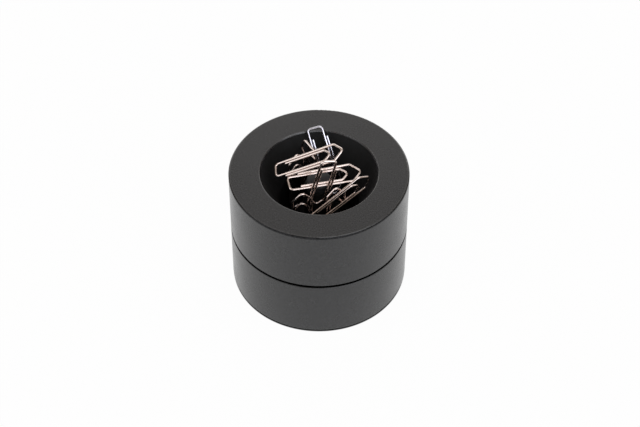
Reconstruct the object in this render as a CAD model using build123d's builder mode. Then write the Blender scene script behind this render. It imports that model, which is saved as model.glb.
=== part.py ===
"""Magnetic paper clip holder: a round two-part housing, a funnel bowl with a magnet post, and its clips.

Millimetres. Z is the axis of the housing, Z = 0 is the desk, and -Y is the side that faces the user.
"""

import os

from build123d import *

os.makedirs("parts", exist_ok=True)

# Housing
outer_d = 73.0
total_height = 57.0
wall = 2.4
foot_proud = 0.6
seam_height = 27.2
seam_gap = 1.2
edge_radius = 0.6
lower_edge_radius = 1.0

# Joint between the base cup and the cover ring
spigot_height = 12.8
spigot_wall = 2.2
spigot_clearance = 0.2
rib_count = 8
rib_width = 1.6
rib_depth = 2.2

# Mouth of the cover ring, with the rebate that takes the flange of the bowl
mouth_d = 48.0
lip_thickness = 0.8
lip_radius = 0.35
rebate_width = 2.8
flange_clearance = 0.15

# Funnel and well of the bowl
well_d = 32.8
well_depth = 33.0
funnel_depth = 15.0
bowl_wall = 2.0
flange_thickness = 1.6
bowl_corner_radius = 0.8
funnel_edge_radius = 0.5

# Magnet, its pole piece and the post that carries them
magnet_d = 10.0
magnet_length = 12.0
magnet_stand_out = 3.0
magnet_level = 4.5
magnet_edge = 0.3
pole_thickness = 2.0
glue_gap = 0.02
post_wall = 0.8
post_draft = 0.5
post_foot_d = 15.6
post_foot_height = 2.0
post_foot_edge = 0.6

# Screw that clamps post and bowl to the base
screw_d = 4.0
screw_length = 16.0
screw_tip_room = 1.0
screw_hole_clearance = 0.2
thread_clearance = 0.05
head_d = 7.0
head_height = 2.4
cross_width = 1.0
cross_length = 4.2
cross_depth = 1.4
washer_d = 9.0
washer_thickness = 0.8
pillar_d = 15.0
pillar_bore_d = 10.0
pillar_web = 3.5

# Weight in the base, and the feet
ballast_d = 58.0
ballast_bore_d = 24.0
ballast_height = 6.0
ballast_edge = 0.5
fence_wall = 1.2
fence_height = 2.5
fence_clearance = 0.3
foot_d = 8.0
foot_pocket = 0.8
foot_pocket_clearance = 0.1
foot_circle_d = 56.0
foot_edge = 0.3
foot_count = 4

# Paper clip, bent from one wire
wire_d = 0.9
clip_length = 31.0
clip_width = 8.9
square_end_width = 6.9
square_end_shift = 0.25
inner_loop_width = 6.1
point_length = 4.0
inner_point_length = 3.0
loop_step = 5.4
free_end = 5.0
leg_gap = 0.12
bend_radius = 1.4
cling_gap = 0.25
layer_gap = 0.3
tilt_rise = 0.75

# Derived levels and radii
outer_r = outer_d / 2
seam_top = seam_height + seam_gap
spigot_r = outer_r - wall - spigot_clearance
spigot_top = seam_height + spigot_height
floor_top = foot_proud + wall
mouth_r = mouth_d / 2
well_r = well_d / 2
well_floor = total_height - well_depth
funnel_foot = total_height - funnel_depth
funnel_slope = (mouth_r - well_r) / funnel_depth
lip_under = total_height - lip_thickness
lip_under_r = mouth_r - lip_thickness * funnel_slope
flange_top = lip_under - flange_clearance
flange_top_r = mouth_r - (total_height - flange_top) * funnel_slope
rebate_r = mouth_r + rebate_width
magnet_top = total_height - magnet_level
post_top = magnet_top - magnet_stand_out
post_r = magnet_d / 2 + glue_gap + post_wall
pole_bottom = magnet_top - magnet_length - pole_thickness
pillar_top = well_floor - bowl_wall
web_under = pillar_top - pillar_web
head_top = web_under - washer_thickness

# Base cup: a joggled wall that carries the cover on a spigot, and a pillar for the bowl
with BuildPart() as base_cup:
    with BuildSketch(Plane.XZ):
        with BuildLine():
            Polyline(
                (pillar_bore_d / 2, foot_proud),
                (outer_r, foot_proud),
                (outer_r, seam_height),
                (spigot_r, seam_height),
                (spigot_r, spigot_top),
                (spigot_r - spigot_wall, spigot_top),
                (spigot_r - spigot_wall, seam_height - wall),
                (outer_r - wall, seam_height - wall),
                (outer_r - wall, floor_top),
                (pillar_d / 2, floor_top),
                (pillar_d / 2, pillar_top),
                (screw_d / 2 + screw_hole_clearance, pillar_top),
                (screw_d / 2 + screw_hole_clearance, web_under),
                (pillar_bore_d / 2, web_under),
                close=True,
            )
        make_face()
    revolve(axis=Axis.Z)
    outer_edges = base_cup.edges().filter_by(GeomType.CIRCLE).group_by(SortBy.RADIUS)[-1].sort_by(Axis.Z)
    fillet(outer_edges[0], lower_edge_radius)
    fillet(outer_edges[-1], edge_radius / 2)
    # low fence that centres the weight on the floor
    with BuildSketch(Plane.XY.offset(floor_top)):
        Circle(ballast_d / 2 + fence_clearance + fence_wall)
        Circle(ballast_d / 2 + fence_clearance, mode=Mode.SUBTRACT)
    extrude(amount=fence_height)
    # pockets for the feet
    with BuildSketch(Plane.XY.offset(foot_proud)):
        with PolarLocations(foot_circle_d / 2, foot_count, start_angle=45):
            Circle(foot_d / 2 + foot_pocket_clearance)
    extrude(amount=foot_pocket, mode=Mode.SUBTRACT)
base_cup.part.label = "base_cup"
export_step(base_cup.part, "parts/base_cup.step")

# Cover ring: outer wall and rim in one, with ribs inside that stand on the spigot of the base
with BuildPart() as cover_ring:
    with BuildSketch(Plane.XZ):
        with BuildLine():
            Polyline(
                (outer_r - wall, seam_top),
                (outer_r, seam_top),
                (outer_r, total_height),
                (mouth_r, total_height),
                (lip_under_r, lip_under),
                (rebate_r, lip_under),
                (rebate_r, total_height - wall),
                (outer_r - wall, total_height - wall),
                close=True,
            )
        make_face()
    revolve(axis=Axis.Z)
    rings = cover_ring.edges().filter_by(GeomType.CIRCLE)
    outer_rings = rings.group_by(SortBy.RADIUS)[-1].sort_by(Axis.Z)
    mouth_ring = rings.group_by(Axis.Z)[-1].sort_by(SortBy.RADIUS)[0]
    fillet(outer_rings[0], edge_radius / 2)
    fillet(outer_rings[-1], edge_radius)
    fillet(mouth_ring, lip_radius)
    with BuildSketch(Plane.XY.offset(spigot_top)):
        with PolarLocations(outer_r - wall - rib_depth / 2 + wall / 4, rib_count, start_angle=22.5):
            Rectangle(rib_depth + wall / 2, rib_width)
    extrude(amount=total_height - wall / 2 - spigot_top)
cover_ring.part.label = "cover_ring"
export_step(cover_ring.part, "parts/cover_ring.step")

# Bowl: flange under the rim of the cover, steep funnel, straight well
with BuildPart() as clip_bowl:
    with BuildSketch(Plane.XZ):
        with BuildLine():
            Polyline(
                (screw_d / 2 + screw_hole_clearance, well_floor),
                (well_r, well_floor),
                (well_r, funnel_foot),
                (flange_top_r, flange_top),
                (rebate_r - 2 * flange_clearance, flange_top),
                (rebate_r - 2 * flange_clearance, flange_top - flange_thickness),
                (flange_top_r + bowl_wall - flange_thickness * funnel_slope, flange_top - flange_thickness),
                (well_r + bowl_wall, funnel_foot - bowl_wall / 2),
                (well_r + bowl_wall, well_floor - bowl_wall),
                (screw_d / 2 + screw_hole_clearance, well_floor - bowl_wall),
                close=True,
            )
        make_face()
    revolve(axis=Axis.Z)
    rings = clip_bowl.edges().filter_by(GeomType.CIRCLE)
    well_rings = rings.filter_by(lambda e: abs(e.radius - well_r) < 0.01).sort_by(Axis.Z)
    fillet(well_rings[0], bowl_corner_radius)
    fillet(well_rings[-1], funnel_edge_radius)
clip_bowl.part.label = "clip_bowl"
export_step(clip_bowl.part, "parts/clip_bowl.step")

# Post: a slightly drafted column with a socket for the magnet and a blind hole for the screw
with BuildPart() as magnet_post:
    with BuildSketch(Plane.XZ):
        with BuildLine():
            Polyline(
                (0, well_floor),
                (post_foot_d / 2, well_floor),
                (post_foot_d / 2, well_floor + post_foot_height),
                (post_r + post_draft, well_floor + post_foot_height),
                (post_r, pole_bottom),
                (post_r, post_top),
                (magnet_d / 2 + glue_gap, post_top),
                (magnet_d / 2 + glue_gap, pole_bottom),
                (0, pole_bottom),
                close=True,
            )
        make_face()
    revolve(axis=Axis.Z)
    foot_rings = magnet_post.edges().filter_by(GeomType.CIRCLE).group_by(SortBy.RADIUS)[-1]
    fillet(foot_rings.sort_by(Axis.Z)[-1], post_foot_edge)
    with BuildSketch(Plane.XY.offset(well_floor)):
        Circle(screw_d / 2 + thread_clearance)
    extrude(amount=head_top + screw_length + screw_tip_room - well_floor, mode=Mode.SUBTRACT)
magnet_post.part.label = "magnet_post"
export_step(magnet_post.part, "parts/magnet_post.step")

# Bar magnet, standing a little out of the post
with BuildPart() as magnet:
    with BuildSketch(Plane.XY.offset(magnet_top - magnet_length)):
        Circle(magnet_d / 2)
    extrude(amount=magnet_length)
    chamfer(magnet.edges(), magnet_edge)
magnet.part.label = "magnet"
export_step(magnet.part, "parts/magnet.step")

# Steel pole piece under the magnet
with BuildPart() as pole_piece:
    with BuildSketch(Plane.XY.offset(pole_bottom)):
        Circle(magnet_d / 2)
    extrude(amount=pole_thickness)
    chamfer(pole_piece.edges(), magnet_edge)
pole_piece.part.label = "pole_piece"
export_step(pole_piece.part, "parts/pole_piece.step")

# Cross-recess screw, put in from below through the pillar
with BuildPart() as post_screw:
    with BuildSketch(Plane.XY.offset(head_top - head_height)):
        Circle(head_d / 2)
    extrude(amount=head_height)
    fillet(post_screw.edges().group_by(Axis.Z)[0], head_height / 3)
    with BuildSketch(Plane.XY.offset(head_top)):
        Circle(screw_d / 2)
    extrude(amount=screw_length)
    chamfer(post_screw.edges().group_by(Axis.Z)[-1], screw_d / 6)
    with BuildSketch(Plane.XY.offset(head_top - head_height)):
        Rectangle(cross_length, cross_width)
        Rectangle(cross_width, cross_length)
    extrude(amount=cross_depth, mode=Mode.SUBTRACT)
post_screw.part.label = "post_screw"
export_step(post_screw.part, "parts/post_screw.step")

# Washer between the screw head and the web of the pillar
with BuildPart() as screw_washer:
    with BuildSketch(Plane.XY.offset(head_top)):
        Circle(washer_d / 2)
        Circle(screw_d / 2 + screw_hole_clearance, mode=Mode.SUBTRACT)
    extrude(amount=washer_thickness)
screw_washer.part.label = "screw_washer"
export_step(screw_washer.part, "parts/screw_washer.step")

# Steel ring that weighs the base down
with BuildPart() as ballast_ring:
    with BuildSketch(Plane.XY.offset(floor_top)):
        Circle(ballast_d / 2)
        Circle(ballast_bore_d / 2, mode=Mode.SUBTRACT)
    extrude(amount=ballast_height)
    chamfer(ballast_ring.edges().group_by(Axis.Z)[-1], ballast_edge)
ballast_ring.part.label = "ballast_ring"
export_step(ballast_ring.part, "parts/ballast_ring.step")

# Rubber feet in the pockets of the base
with BuildPart() as rubber_feet:
    with BuildSketch():
        with PolarLocations(foot_circle_d / 2, foot_count, start_angle=45):
            Circle(foot_d / 2)
    extrude(amount=foot_proud + foot_pocket)
    chamfer(rubber_feet.edges().group_by(Axis.Z)[0], foot_edge)
rubber_feet.part.label = "rubber_feet"
export_step(rubber_feet.part, "parts/rubber_feet.step")


def clip_corners():
    """Corners of the wire line: free leg, outer point, squared end, inner point, free leg."""
    wire_r = wire_d / 2
    start = wire_r - clip_length / 2
    tip = clip_length / 2 - wire_r
    shoulder = tip - point_length
    inner_tip = tip - loop_step
    inner_shoulder = inner_tip - inner_point_length
    half_point = clip_width / 2 - wire_r
    half_inner = inner_loop_width / 2 - wire_r
    side = square_end_width / 2 - wire_r + square_end_shift
    other_side = square_end_width / 2 - wire_r - square_end_shift
    step = wire_d + leg_gap
    return [
        (free_end - clip_length / 2, other_side + step),
        (shoulder, half_point),
        (tip, 0),
        (shoulder, -half_point),
        (start, -side),
        (start, other_side),
        (inner_shoulder, half_inner),
        (inner_tip, 0),
        (inner_shoulder, -half_inner),
        (free_end - clip_length / 2, -side + step),
    ]


def bend_clip(label, middle, pointing, facing):
    """One clip with its pointed end along pointing and its flat side turned to facing."""
    along = Vector(*pointing).normalized()
    normal = along.cross(Vector(*facing).cross(along))
    lie = Plane(origin=middle, x_dir=along, z_dir=normal)
    with BuildPart() as clip:
        with BuildLine(lie) as wire:
            FilletPolyline(*clip_corners(), radius=bend_radius)
        with BuildSketch(wire.line ^ 0):
            Circle(wire_d / 2)
        sweep()
    clip.part.label = label
    export_step(clip.part, f"parts/{label}.step")


# Clips on the magnet: two lie on its face, tilted to the front, one slants up over them, the rest stand or lean
flat_z = magnet_top + wire_d / 2 + cling_gap + tilt_rise
second_z = flat_z + wire_d + layer_gap
stand_z = well_floor + clip_length / 2 + cling_gap
bend_clip("clip_lowest_flat", (2.45, -0.45, flat_z), (4.12, 1, 0), (0.05, -0.21, 1))
bend_clip("clip_front_flat", (2.45, -1.6, second_z), (4.12, 1, 0), (0.05, -0.21, 1))
bend_clip("clip_back_flat", (-3.97, 2.1, magnet_top + 8.5), (9, -0.28, 4.37), (0.49, 0.19, -1))
bend_clip("clip_back_upright", (2.66, 15.6, magnet_top - 5.4), (2.83, -4.34, -8.56), (0, -1.97, 1))
bend_clip("clip_front_upright", (0.9, -7.0, magnet_top + 2.1), (-7, -0.7, -29), (0.25, -1, 0))
bend_clip("clip_right_leaning", (8.48, -7.94, magnet_top - 3.6), (8, 4.32, 4.35), (-0.56, 1, 0))
bend_clip("clip_back_slanting", (-1.6, 12.2, magnet_top - 7.5), (-2.8, 2.6, 9.25), (1, 0.9, 0))
bend_clip("clip_left_standing", (-9.24, 11.8, stand_z), (0, 0, 1), (0.78, -1, 0))
bend_clip("clip_front_standing", (-6.8, -10.3, stand_z), (0, 0, 1), (-0.25, 1, 0))
bend_clip("clip_right_standing", (6.7, -7.2, stand_z), (0, 0, 1), (-0.41, 0.91, 0))
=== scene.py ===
# %% [markdown]
# # A magnetic paper clip holder
# The holder is a round housing in two halves, a black funnel bowl with a magnet on a post in its middle, and ten
# bent-wire clips that cling to the magnet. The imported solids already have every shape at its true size, so this
# lesson loads them once, keeps them where they are, and gives them a camera, a stage and their finishes.

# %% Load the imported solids
import math

import bmesh
import bpy
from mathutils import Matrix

MM = 0.001

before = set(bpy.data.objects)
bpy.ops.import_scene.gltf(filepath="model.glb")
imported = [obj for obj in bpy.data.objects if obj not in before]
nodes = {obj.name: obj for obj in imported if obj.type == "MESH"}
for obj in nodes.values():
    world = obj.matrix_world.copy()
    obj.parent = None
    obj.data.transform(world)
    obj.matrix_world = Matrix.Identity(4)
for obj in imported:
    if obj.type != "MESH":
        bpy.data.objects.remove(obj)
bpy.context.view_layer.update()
print("solids loaded:", len(nodes))

# %% [markdown]
# ## Camera
# The photograph looks down on the desk at a little under 47 degrees through a long lens. A camera could be framed by
# eye, but the rims and the seam are circles of known size, so their ellipses give the lens, the distance and the
# tilt directly. The numbers below are that fit: the focal length in pixels becomes a lens in millimetres.

# %% Camera
photo_width_px = 640
focal_px = 1706.5
sensor_mm = 36.0
aim_height = 30.6 * MM
distance = 706.06 * MM
elevation = math.radians(46.687)
tilt_below_horizon = math.radians(46.5955)
turn_right = math.radians(0.0473)
# A camera that is turned by this much about X looks along the horizon.
level = math.pi / 2
nearest_seen = 10 * MM
farthest_seen = 50.0

lens = bpy.data.cameras.new("photo_camera")
lens.sensor_width = sensor_mm
lens.lens = focal_px / photo_width_px * sensor_mm
lens.clip_start = nearest_seen
lens.clip_end = farthest_seen
camera = bpy.data.objects.new("photo_camera", lens)
camera.location = (0, -distance * math.cos(elevation), aim_height + distance * math.sin(elevation))
camera.rotation_euler = (level - tilt_below_horizon, 0, -turn_right)
bpy.context.scene.collection.objects.link(camera)
bpy.context.scene.camera = camera
bpy.context.scene.view_settings.view_transform = "Standard"
print("lens %.1f mm, camera %.0f mm above the desk" % (lens.lens, camera.location.z / MM))

# %% [markdown]
# ## Helpers for finishes
# Every finish below is a small tree of shader nodes. One helper turns a colour as a painter writes it, an sRGB hex
# value, into the linear numbers that light is added up in. A second adds one node with its settings and its links,
# so that a tree reads as a list of steps. A value that is the same all over goes straight onto the shader.

# %% Helpers for finishes
def linear(hex_colour):
    """Linear RGBA of an sRGB hex colour such as '#2e2e2f'."""
    channels = [int(hex_colour[i:i + 2], 16) / 255 for i in (1, 3, 5)]
    return [c / 12.92 if c <= 0.04045 else ((c + 0.055) / 1.055) ** 2.4 for c in channels] + [1.0]


def add(tree, kind, settings, inputs):
    """Add one node; an input is a plain value, or the output of another node, which is linked in."""
    node = tree.nodes.new(kind)
    for name, value in settings.items():
        setattr(node, name, value)
    for socket, value in inputs.items():
        if isinstance(value, bpy.types.NodeSocket):
            tree.links.new(value, node.inputs[socket])
        else:
            node.inputs[socket].default_value = value
    return node


def new_finish(name):
    """An empty material, its node tree, and the object coordinates that its patterns read."""
    material = bpy.data.materials.new(name)
    material.use_nodes = True
    tree = material.node_tree
    tree.nodes.clear()
    place = add(tree, "ShaderNodeTexCoord", {}, {}).outputs["Object"]
    return material, tree, place


def grains(size_mm):
    """Scale of a pattern whose grains or cells are about size_mm across."""
    return 1 / (size_mm * MM)


# A Mix node has sockets for every kind of value under the same names, so they are told apart by number.
MIX_SHARE, NUMBER_A, NUMBER_B, COLOUR_A, COLOUR_B = 0, 2, 3, 6, 7
MIXED_NUMBER, MIXED_COLOUR = 0, 2
# A noise seldom leaves this range, so what is stretched over it shows in full.
NOISE_LOW, NOISE_HIGH = 0.3, 0.7
print("linear value of #808080:", round(linear("#808080")[0], 3))

# %% [markdown]
# ## Desk
# The holder stands on a white desk that runs out of the picture on every side. A curved paper sweep could be
# modelled, but the camera looks down and sees only its flat part, so one wide sheet does the same. It lies a hair
# under the feet, so that no face of theirs falls together with it.

# %% Desk
desk_half_width = 6.0
desk_drop = 0.02 * MM

desk_mesh = bpy.data.meshes.new("desk")
shape = bmesh.new()
bmesh.ops.create_grid(shape, x_segments=1, y_segments=1, size=desk_half_width)
bmesh.ops.translate(shape, verts=shape.verts, vec=(0, 0, -desk_drop))
shape.to_mesh(desk_mesh)
shape.free()
desk = bpy.data.objects.new("desk", desk_mesh)
bpy.context.scene.collection.objects.link(desk)
print("desk %.0f m wide" % (2 * desk_half_width))

# %% [markdown]
# ## White board
# In the photograph the desk burns out to paper white, and only a thin dark line shows where the holder meets it. A
# lit white board would do that only with far too much light, so the finish has two parts: a white diffuse board that
# takes the soft shadow, and a plain white glow of strength 1 that the camera and shiny surfaces see in most of it.
# Under the holder, where the base stands a little off the desk, the glow stops and the board is painted dark grey,
# a painted contact shadow, so that the line of the shadow stays.

# %% White board
# Painted board: an even paper white without grain, with a painted contact shadow, a soft dark line close under the
# holder.
glow_share = 0.97
shadow_inside = 36.2 * MM
shadow_outside = 36.5 * MM

board, tree, place = new_finish("white_board")
rays = add(tree, "ShaderNodeLightPath", {}, {})
seen = add(tree, "ShaderNodeMath", {"operation": "MAXIMUM"},
           {0: rays.outputs["Is Camera Ray"], 1: rays.outputs["Is Glossy Ray"]})
seen = add(tree, "ShaderNodeMath", {"operation": "MAXIMUM"},
           {0: seen.outputs[0], 1: rays.outputs["Is Transmission Ray"]})
from_axis = add(tree, "ShaderNodeVectorMath", {"operation": "LENGTH"}, {0: place})
clear = add(tree, "ShaderNodeMapRange", {},
            {"Value": from_axis.outputs["Value"], "From Min": shadow_inside, "From Max": shadow_outside,
             "To Max": glow_share})
share = add(tree, "ShaderNodeMath", {"operation": "MULTIPLY"}, {0: seen.outputs[0], 1: clear.outputs[0]})
# Painted shadow: under the holder's edge the board's own colour goes from paper white to dark grey.
tint = add(tree, "ShaderNodeMix", {"data_type": "RGBA"},
           {MIX_SHARE: clear.outputs[0], COLOUR_A: linear("#4a4a4a"), COLOUR_B: linear("#f4f4f4")})
paint = add(tree, "ShaderNodeBsdfDiffuse", {}, {"Color": tint.outputs[MIXED_COLOUR]})
glow = add(tree, "ShaderNodeEmission", {}, {"Color": linear("#ffffff"), "Strength": 1.0})
both = add(tree, "ShaderNodeMixShader", {}, {0: share.outputs[0], 1: paint.outputs[0], 2: glow.outputs[0]})
add(tree, "ShaderNodeOutputMaterial", {}, {"Surface": both.outputs[0]})
desk_mesh.materials.append(board)
print("contact shadow ends %.1f mm from the axis" % (shadow_outside / MM))

# %% [markdown]
# ## Room
# Wires are small round mirrors, so they show the room that they were photographed in: a soft box on each side of the
# camera, two bright windows low in front of the table, a white wall behind, and a dim room in between. A plain white
# world would light the holder as well, but then every wire would look flat. So the world is a dim room with five
# soft bright patches, each given by its direction, its half width, its level and its colour.

# %% Room
room_level = 0.24
room_colour = "#ffefdd"
soft_edge = 14
# name: degrees to the right of the camera, degrees up, half width in degrees, level, colour
patches = {
    "left soft box": (-62, 26, 28, 1.35, "#f6f9ff"),
    "right soft box": (58, 50, 28, 1.2, "#f6f9ff"),
    "front window": (8, 6, 20, 2.2, "#f0f5ff"),
    "right window": (42, 8, 20, 2.2, "#f0f5ff"),
    "back wall": (180, 11, 36, 1.15, "#fcfdff"),
}

world = bpy.data.worlds.new("studio")
bpy.context.scene.world = world
world.use_nodes = True
tree = world.node_tree
tree.nodes.clear()
look = add(tree, "ShaderNodeTexCoord", {}, {}).outputs["Generated"]
room = add(tree, "ShaderNodeVectorMath", {"operation": "SCALE"},
           {0: linear(room_colour)[:3], "Scale": room_level})
for name, (right, up, half_width, brightness, colour) in patches.items():
    turn, lift = math.radians(right), math.radians(up)
    towards = (math.sin(turn) * math.cos(lift), -math.cos(turn) * math.cos(lift), math.sin(lift))
    outer_edge = math.cos(math.radians(half_width + soft_edge / 2))
    inner_edge = math.cos(math.radians(half_width - soft_edge / 2))
    near = add(tree, "ShaderNodeVectorMath", {"operation": "DOT_PRODUCT"}, {0: look, 1: towards})
    patch = add(tree, "ShaderNodeMapRange", {"interpolation_type": "SMOOTHSTEP"},
                {"Value": near.outputs["Value"], "From Min": outer_edge, "From Max": inner_edge,
                 "To Max": brightness})
    lit = add(tree, "ShaderNodeVectorMath", {"operation": "SCALE"},
              {0: linear(colour)[:3], "Scale": patch.outputs[0]})
    room = add(tree, "ShaderNodeVectorMath", {"operation": "ADD"}, {0: room.outputs[0], 1: lit.outputs[0]})
    print(name, "towards", [round(v, 2) for v in towards])
sky = add(tree, "ShaderNodeBackground", {}, {"Color": room.outputs[0], "Strength": 1.0})
add(tree, "ShaderNodeOutputWorld", {}, {"Surface": sky.outputs[0]})

# %% [markdown]
# ## Overhead box
# A broad soft box hangs over the table, a little behind the holder and to its left. It lights the rim and the clips
# from above and draws the soft shadow. A sun would draw a hard one, so the lamp is a square almost a metre wide. Its
# power follows from the level that its face should show, so that it stays as bright if its size changes.

# %% Overhead box
box_level = 0.4
box_width = 0.8
box_place = (-0.1, 0.1, 1.0)

soft_box = bpy.data.lights.new("overhead_box", "AREA")
soft_box.shape = "SQUARE"
soft_box.size = box_width
soft_box.energy = box_level * math.pi * box_width ** 2
soft_box.color = linear("#f6faff")[:3]
lamp = bpy.data.objects.new("overhead_box", soft_box)
lamp.location = box_place
bpy.context.scene.collection.objects.link(lamp)
print("overhead box %.2f W" % soft_box.energy)

# %% [markdown]
# ## Charcoal housing: grain
# Both halves of the housing are moulded in charcoal ABS. The mould was spark-eroded, which leaves a fine even grain:
# the eye sees a soft sheen that rises towards the edges, with no mirror image in it. An image of grain would show a
# seam where its ends meet round the wall; a noise in object coordinates has none. A fine noise gives the specks and
# the bump, and a slow one breaks the sheen a little.

# %% Charcoal housing: grain
# Spark-eroded ABS: a dark grey that looks dry from above and pale along the edges, with a very fine grain.
# The real grain is about 0.1 mm; it is drawn at 0.6 mm, more than a pixel, so that it shows.
charcoal_grain_mm = 0.6
charcoal_cloud_mm = 9.0
speck_low, speck_high = 0.38, 0.62
charcoal_smooth, charcoal_rough = 0.23, 0.29

charcoal, tree, place = new_finish("moulded_abs_charcoal")
grain = add(tree, "ShaderNodeTexNoise", {},
            {"Vector": place, "Scale": grains(charcoal_grain_mm), "Detail": 3.0, "Roughness": 0.6})
cloud = add(tree, "ShaderNodeTexNoise", {},
            {"Vector": place, "Scale": grains(charcoal_cloud_mm), "Detail": 4.0})
speck = add(tree, "ShaderNodeMapRange", {"interpolation_type": "SMOOTHSTEP"},
            {"Value": grain.outputs["Fac"], "From Min": speck_low, "From Max": speck_high})
tint = add(tree, "ShaderNodeMix", {"data_type": "RGBA"},
           {MIX_SHARE: speck.outputs[0], COLOUR_A: linear("#0d0d0e"), COLOUR_B: linear("#262627")})
sheen = add(tree, "ShaderNodeMapRange", {},
            {"Value": cloud.outputs["Fac"], "From Min": NOISE_LOW, "From Max": NOISE_HIGH,
             "To Min": charcoal_smooth, "To Max": charcoal_rough})
bump = add(tree, "ShaderNodeBump", {},
           {"Height": grain.outputs["Fac"], "Strength": 0.6, "Distance": 0.05 * MM})
print("charcoal grain drawn at %.2f mm" % charcoal_grain_mm)

# %% [markdown]
# ## Charcoal housing: rubbed lip
# Fingers and clips rub the rounded lip of the mouth, and rubbed plastic shines more. The band of extra shine is also
# a painted highlight: it draws the thin light line that the rounded lip catches. The lip could be painted by hand on
# an image, but a mask made from the height and the distance to the axis needs none, and follows the piece
# wherever it goes.

# %% Charcoal housing: rubbed lip and painted highlight
# The mask grows over the first pair of sizes towards the axis, and over the second pair towards the top.
lip_outside, lip_inside = 24.4 * MM, 24.2 * MM
lip_low, lip_high = 56.3 * MM, 56.6 * MM

axes = add(tree, "ShaderNodeSeparateXYZ", {}, {0: place})
flat = add(tree, "ShaderNodeCombineXYZ", {}, {"X": axes.outputs["X"], "Y": axes.outputs["Y"]})
from_axis = add(tree, "ShaderNodeVectorMath", {"operation": "LENGTH"}, {0: flat.outputs[0]})
radius = from_axis.outputs["Value"]
height = axes.outputs["Z"]
at_mouth = add(tree, "ShaderNodeMapRange", {},
               {"Value": radius, "From Min": lip_outside, "From Max": lip_inside})
at_top = add(tree, "ShaderNodeMapRange", {}, {"Value": height, "From Min": lip_low, "From Max": lip_high})
lip = add(tree, "ShaderNodeMath", {"operation": "MULTIPLY"}, {0: at_mouth.outputs[0], 1: at_top.outputs[0]})
print("lip within %.1f mm of the axis" % (lip_outside / MM))

# %% [markdown]
# ## Charcoal housing: outer edge
# The outer edge of the rim shows a light line in front, with a dark line just under it. Both are painted on: a
# painted highlight, a shiny band on top where the rounding starts, and a painted shade, a dull band below that
# reflects almost nothing. A row of faces could carry a finish of its own, but the line is finer than a face should
# be, so two more masks of the same kind draw them.

# %% Charcoal housing: outer edge
edge_inside = 35.75 * MM
edge_middle = 36.2 * MM
edge_under = 55.8 * MM
edge_blend = 0.12 * MM
painted_shade_level, plain_shine, wear_and_highlight_level = 0.1, 0.5, 1.0

on_edge = add(tree, "ShaderNodeMapRange", {},
              {"Value": radius, "From Min": edge_inside, "From Max": edge_inside + edge_blend})
past_edge = add(tree, "ShaderNodeMapRange", {},
                {"Value": radius, "From Min": edge_middle, "From Max": edge_middle + edge_blend})
edge_band = add(tree, "ShaderNodeMath", {"operation": "SUBTRACT"},
                {0: on_edge.outputs[0], 1: past_edge.outputs[0]})
edge_highlight_band = add(tree, "ShaderNodeMath", {"operation": "MULTIPLY"},
               {0: edge_band.outputs[0], 1: at_top.outputs[0]})
# Painted highlight: the lip and the top of the outer edge get the most shine; on the lip it is partly rubbing.
lip_wear_and_edge_highlight = add(tree, "ShaderNodeMath", {"operation": "MAXIMUM"}, {0: lip.outputs[0], 1: edge_highlight_band.outputs[0]})
wear_and_highlight_shine = add(tree, "ShaderNodeMapRange", {},
             {"Value": lip_wear_and_edge_highlight.outputs[0], "To Min": plain_shine, "To Max": wear_and_highlight_level})
# Painted shade: a band just under the edge reflects almost nothing, which draws the dark line.
near_top = add(tree, "ShaderNodeMapRange", {},
               {"Value": height, "From Min": edge_under, "From Max": edge_under + edge_blend})
painted_shade_band = add(tree, "ShaderNodeMath", {"operation": "MULTIPLY"},
                {0: past_edge.outputs[0], 1: near_top.outputs[0]})
rim_shine = add(tree, "ShaderNodeMix", {"data_type": "FLOAT"},
                {MIX_SHARE: painted_shade_band.outputs[0], NUMBER_A: wear_and_highlight_shine.outputs[0], NUMBER_B: painted_shade_level})
print("light line from %.2f to %.2f mm, dull band outside it" % (edge_inside / MM, edge_middle / MM))

# %% [markdown]
# ## Charcoal housing: seam and skin
# The two halves meet at a shadow gap round the middle of the wall. Light hardly reaches the faces inside it, and
# their
# shade is painted on: the gap itself is in the solids, so only its faces need a mask, one by height and radius that
# makes them near black and takes away their shine. Then one shader puts grain, edges and the painted seam shade
# together.

# %% Charcoal housing: seam and skin
seam_middle = 27.8 * MM
seam_half = 0.7 * MM
seam_radius = 36.3 * MM
gap_shade_level = 0.0
ABS_IOR = 1.53

above_seam = add(tree, "ShaderNodeMath", {"operation": "SUBTRACT"}, {0: height, 1: seam_middle})
from_seam = add(tree, "ShaderNodeMath", {"operation": "ABSOLUTE"}, {0: above_seam.outputs[0]})
gap_level = add(tree, "ShaderNodeMath", {"operation": "LESS_THAN"}, {0: from_seam.outputs[0], 1: seam_half})
gap_deep = add(tree, "ShaderNodeMath", {"operation": "LESS_THAN"}, {0: radius, 1: seam_radius})
gap_shade_mask = add(tree, "ShaderNodeMath", {"operation": "MULTIPLY"}, {0: gap_level.outputs[0], 1: gap_deep.outputs[0]})
# Painted shade: the faces in the gap take a near-black colour and no shine.
grain_and_gap_shade_tint = add(tree, "ShaderNodeMix", {"data_type": "RGBA"},
                   {MIX_SHARE: gap_shade_mask.outputs[0], COLOUR_A: tint.outputs[MIXED_COLOUR],
                    COLOUR_B: linear("#050505")})
shine = add(tree, "ShaderNodeMix", {"data_type": "FLOAT"},
            {MIX_SHARE: gap_shade_mask.outputs[0], NUMBER_A: rim_shine.outputs[MIXED_NUMBER], NUMBER_B: gap_shade_level})
skin = add(tree, "ShaderNodeBsdfPrincipled", {},
           {"Base Color": grain_and_gap_shade_tint.outputs[MIXED_COLOUR], "Roughness": sheen.outputs[0], "IOR": ABS_IOR,
            "Specular IOR Level": shine.outputs[MIXED_NUMBER], "Normal": bump.outputs[0]})
add(tree, "ShaderNodeOutputMaterial", {}, {"Surface": skin.outputs[0]})
print("dark seam faces %.1f mm high" % (2 * seam_half / MM))

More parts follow.
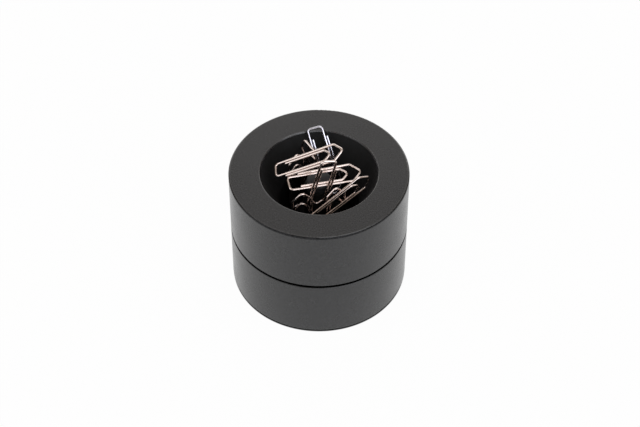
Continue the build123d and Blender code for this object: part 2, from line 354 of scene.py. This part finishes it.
# %% [markdown]
# ## Black bowl and post
# The bowl and the post are a second moulding, in black ABS from a vapour-blasted mould. It is finer than the housing
# and swallows nearly all light, so the clips stand out against it. A plain black would do in the dark, but the side
# of the funnel is lit, so the tree is the same idea as before with a darker colour and a satin sheen. Faint rub
# marks, where clips slide down the funnel, come from a stretched noise.

# %% Black bowl and post
# Vapour-blasted ABS: deep black with a soft satin shine, fine enough to look smooth at arm's length.
# The real grain is far under 0.1 mm; it is drawn at 0.5 mm, so that it shows.
black_grain_mm = 0.5
rub_width_mm = 1.2
rub_length_mm = 14.0
rub_low, rub_high = 0.35, 0.7
black_rough, black_rubbed = 0.64, 0.54
black_shine = 0.2

black, tree, place = new_finish("moulded_abs_black")
grain = add(tree, "ShaderNodeTexNoise", {},
            {"Vector": place, "Scale": grains(black_grain_mm), "Detail": 3.0})
upright = add(tree, "ShaderNodeMapping", {},
              {"Vector": place, "Scale": (grains(rub_width_mm), grains(rub_width_mm), grains(rub_length_mm))})
rub = add(tree, "ShaderNodeTexNoise", {}, {"Vector": upright.outputs[0], "Scale": 1.0, "Detail": 2.0})
tint = add(tree, "ShaderNodeMix", {"data_type": "RGBA"},
           {MIX_SHARE: grain.outputs["Fac"], COLOUR_A: linear("#0d0d0d"), COLOUR_B: linear("#141414")})
sheen = add(tree, "ShaderNodeMapRange", {},
            {"Value": rub.outputs["Fac"], "From Min": rub_low, "From Max": rub_high,
             "To Min": black_rough, "To Max": black_rubbed})
bump = add(tree, "ShaderNodeBump", {},
           {"Height": grain.outputs["Fac"], "Strength": 0.2, "Distance": 0.02 * MM})
skin = add(tree, "ShaderNodeBsdfPrincipled", {},
           {"Base Color": tint.outputs[MIXED_COLOUR], "Roughness": sheen.outputs[0], "IOR": ABS_IOR,
            "Specular IOR Level": black_shine, "Normal": bump.outputs[0]})
add(tree, "ShaderNodeOutputMaterial", {}, {"Surface": skin.outputs[0]})
print("black grain drawn at %.2f mm" % black_grain_mm)

# %% [markdown]
# ## Clip wire
# The clips are steel wire, drawn bright, plated, then bent on a machine. Most are plated with nickel, a warm grey.
# The one that stands up at the back looks cooler, so its wire takes a bluish copy of the finish: a painted reflection
# of the cool light in front of it. A plating keeps a faint grain and dull spots from drawing and handling. The wire
# could simply be painted grey, but a metal shows little more than its reflection, so the tree mostly varies the
# roughness, with a slight change of tint between fresh and dull plating. One loop makes both finishes, because only
# their colours differ.

# %% Clip wire
# Plating on drawn wire: bright, with long glints that break up where it is dull. Nickel looks warm; the bluish copy
# is a painted cool reflection.
wire_spot_mm = 2.2
wire_grain_mm = 0.25
wire_dull, wire_bright = 0.16, 0.09
# name: colour where the plating is dull, colour where it is fresh
wire_tints = {
    "nickel_plated_wire": ("#ecdbd2", "#f6e8e2"),
    # The bluish copy stands for the cool light that the upright clip at the back reflects: a painted reflection.
    "painted_cool_reflection_wire": ("#dedde6", "#eae9f2"),
}

wires = {}
for name, (dull_colour, fresh_colour) in wire_tints.items():
    wires[name], tree, place = new_finish(name)
    spots = add(tree, "ShaderNodeTexNoise", {},
                {"Vector": place, "Scale": grains(wire_spot_mm), "Detail": 4.0})
    grain = add(tree, "ShaderNodeTexNoise", {},
                {"Vector": place, "Scale": grains(wire_grain_mm), "Detail": 2.0})
    tint = add(tree, "ShaderNodeMix", {"data_type": "RGBA"},
               {MIX_SHARE: spots.outputs["Fac"], COLOUR_A: linear(dull_colour), COLOUR_B: linear(fresh_colour)})
    dull = add(tree, "ShaderNodeMapRange", {},
               {"Value": spots.outputs["Fac"], "From Min": NOISE_LOW, "From Max": NOISE_HIGH,
                "To Min": wire_dull, "To Max": wire_bright})
    bump = add(tree, "ShaderNodeBump", {},
               {"Height": grain.outputs["Fac"], "Strength": 0.05, "Distance": 0.01 * MM})
    skin = add(tree, "ShaderNodeBsdfPrincipled", {},
               {"Base Color": tint.outputs[MIXED_COLOUR], "Metallic": 1.0, "Roughness": dull.outputs[0],
                "Normal": bump.outputs[0]})
    add(tree, "ShaderNodeOutputMaterial", {}, {"Surface": skin.outputs[0]})
    print(name, "with dull spots of about %.1f mm" % wire_spot_mm)

# %% [markdown]
# ## Magnet
# The magnet is a bar of ferrite, pressed from powder and sintered like a brick, with its face ground flat. Ferrite is
# a dark grey ceramic, not a metal, so it has a weak shine. The wheel leaves straight fine marks one way, clips scrape
# others across them, and small pits stay from the powder. Cutting them into the solid would take thousands of faces,
# so two stretched noises, a right angle apart, and a cell pattern draw them.

# %% Magnet
# Ground ferrite: a dull dark grey face with faint marks and small pits, that stays dark under the bright wires.
scratch_width_mm = 0.12
scratch_length_mm = 6.0
grinding_turn, scrape_turn = 20, 110
scratch_low, scratch_high = 0.45, 0.75
ferrite_ground, ferrite_scraped = 0.38, 0.55
pit_mm = 0.7

ferrite, tree, place = new_finish("ground_sintered_ferrite")
marks = []
for turn in (grinding_turn, scrape_turn):
    turned = add(tree, "ShaderNodeMapping", {"vector_type": "TEXTURE"},
                 {"Vector": place, "Rotation": (0, 0, math.radians(turn)),
                  "Scale": (scratch_length_mm * MM, scratch_width_mm * MM, scratch_length_mm * MM)})
    marks.append(add(tree, "ShaderNodeTexNoise", {}, {"Vector": turned.outputs[0], "Scale": 1.0, "Detail": 2.0}))
scratch = add(tree, "ShaderNodeMath", {"operation": "MAXIMUM"},
              {0: marks[0].outputs["Fac"], 1: marks[1].outputs["Fac"]})
pits = add(tree, "ShaderNodeTexVoronoi", {}, {"Vector": place, "Scale": grains(pit_mm)})
tint = add(tree, "ShaderNodeMix", {"data_type": "RGBA"},
           {MIX_SHARE: pits.outputs["Distance"], COLOUR_A: linear("#1b1b1c"), COLOUR_B: linear("#2a2a2b")})
dull = add(tree, "ShaderNodeMapRange", {},
           {"Value": scratch.outputs[0], "From Min": scratch_low, "From Max": scratch_high,
            "To Min": ferrite_ground, "To Max": ferrite_scraped})
bump = add(tree, "ShaderNodeBump", {},
           {"Height": scratch.outputs[0], "Strength": 0.2, "Distance": 0.02 * MM})
skin = add(tree, "ShaderNodeBsdfPrincipled", {},
           {"Base Color": tint.outputs[MIXED_COLOUR], "Roughness": dull.outputs[0], "Normal": bump.outputs[0]})
add(tree, "ShaderNodeOutputMaterial", {}, {"Surface": skin.outputs[0]})
print("scratches %.2f mm wide" % scratch_width_mm)

# %% [markdown]
# ## Turned steel
# The weight in the base and the pole piece under the magnet are turned from bar. The tool leaves rings round the
# axis, and each ring catches the light along a different line. A noise wouldn't close into rings, so a wave pattern
# in rings about the upright axis makes them.

# %% Turned steel
# Turned steel: mid grey with concentric tool rings. The real feed is about 0.15 mm; it is drawn at 0.5 mm to show.
ring_mm = 0.5
# A Wave node goes through this many radians per unit of its scale, and one ring is a full turn.
wave_radians = 20

turned_steel, tree, place = new_finish("turned_steel")
rings = add(tree, "ShaderNodeTexWave", {"wave_type": "RINGS", "rings_direction": "Z"},
            {"Vector": place, "Scale": math.tau * grains(ring_mm) / wave_radians, "Distortion": 0.3,
             "Detail": 1.0})
tint = add(tree, "ShaderNodeMix", {"data_type": "RGBA"},
           {MIX_SHARE: rings.outputs["Fac"], COLOUR_A: linear("#8f9092"), COLOUR_B: linear("#a6a7a9")})
bump = add(tree, "ShaderNodeBump", {},
           {"Height": rings.outputs["Fac"], "Strength": 0.2, "Distance": 0.02 * MM})
skin = add(tree, "ShaderNodeBsdfPrincipled", {},
           {"Base Color": tint.outputs[MIXED_COLOUR], "Metallic": 1.0, "Roughness": 0.34,
            "Normal": bump.outputs[0]})
add(tree, "ShaderNodeOutputMaterial", {}, {"Surface": skin.outputs[0]})
print("tool rings %.2f mm apart" % ring_mm)

# %% [markdown]
# ## Zinc-plated screw and washer
# Screw and washer come bright zinc plated and passivated, which gives a cool blue-grey with a faint crystal pattern.
# One even grey would look like paint, so a cell pattern tints the crystals, and a slower noise dulls the surface
# unevenly.

# %% Zinc-plated screw and washer
# Passivated zinc: cool light grey, a little mottled, between satin and bright.
crystal_mm = 0.6
haze_mm = 1.8
zinc_bright, zinc_dull = 0.28, 0.42

zinc, tree, place = new_finish("zinc_plated_steel")
crystals = add(tree, "ShaderNodeTexVoronoi", {}, {"Vector": place, "Scale": grains(crystal_mm)})
haze = add(tree, "ShaderNodeTexNoise", {}, {"Vector": place, "Scale": grains(haze_mm), "Detail": 4.0})
tint = add(tree, "ShaderNodeMix", {"data_type": "RGBA"},
           {MIX_SHARE: crystals.outputs["Distance"], COLOUR_A: linear("#bfc4c9"), COLOUR_B: linear("#a9b0b8")})
dull = add(tree, "ShaderNodeMapRange", {},
           {"Value": haze.outputs["Fac"], "From Min": NOISE_LOW, "From Max": NOISE_HIGH,
            "To Min": zinc_bright, "To Max": zinc_dull})
skin = add(tree, "ShaderNodeBsdfPrincipled", {},
           {"Base Color": tint.outputs[MIXED_COLOUR], "Metallic": 1.0, "Roughness": dull.outputs[0]})
add(tree, "ShaderNodeOutputMaterial", {}, {"Surface": skin.outputs[0]})
print("zinc crystals %.1f mm" % crystal_mm)

# %% [markdown]
# ## Rubber feet
# The feet are die-cut from black rubber sheet. Rubber scatters light in a dull, dusty way and picks up lint. A flat
# black would hide their shape, so the finish is a rough dark grey, with a paler bloom in patches from one noise.

# %% Rubber feet
# Black rubber sheet: almost no shine, a slightly dusty dark grey.
bloom_mm = 1.6

rubber, tree, place = new_finish("die_cut_rubber")
bloom = add(tree, "ShaderNodeTexNoise", {}, {"Vector": place, "Scale": grains(bloom_mm), "Detail": 5.0})
tint = add(tree, "ShaderNodeMix", {"data_type": "RGBA"},
           {MIX_SHARE: bloom.outputs["Fac"], COLOUR_A: linear("#161616"), COLOUR_B: linear("#2a2a29")})
bump = add(tree, "ShaderNodeBump", {},
           {"Height": bloom.outputs["Fac"], "Strength": 0.3, "Distance": 0.05 * MM})
skin = add(tree, "ShaderNodeBsdfPrincipled", {},
           {"Base Color": tint.outputs[MIXED_COLOUR], "Roughness": 0.82, "IOR": 1.52, "Normal": bump.outputs[0]})
add(tree, "ShaderNodeOutputMaterial", {}, {"Surface": skin.outputs[0]})
print("rubber bloom %.1f mm" % bloom_mm)

# %% [markdown]
# ## Dress the solids
# Each solid takes the finish of the piece that it is. Copies could be made and dressed instead, but the solids carry
# one material slot each, so the finish goes into that slot, and the mesh itself stays as it was loaded.

# %% Dress the solids
# Every solid that isn't named here is a nickel-plated clip.
finish_of = {
    "base_cup": charcoal,
    "cover_ring": charcoal,
    "clip_bowl": black,
    "magnet_post": black,
    "magnet": ferrite,
    "pole_piece": turned_steel,
    "ballast_ring": turned_steel,
    "post_screw": zinc,
    "screw_washer": zinc,
    "rubber_feet": rubber,
    # The upright clip at the back takes the bluish copy, a painted reflection of cool light.
    "clip_back_upright": wires["painted_cool_reflection_wire"],
}
for name, solid in nodes.items():
    solid.data.materials.clear()
    solid.data.materials.append(finish_of.get(name, wires["nickel_plated_wire"]))
nickel_clips = len(nodes) - len(finish_of)
print("dressed:", len(nodes), "solids,", nickel_clips, "of them nickel-plated clips")
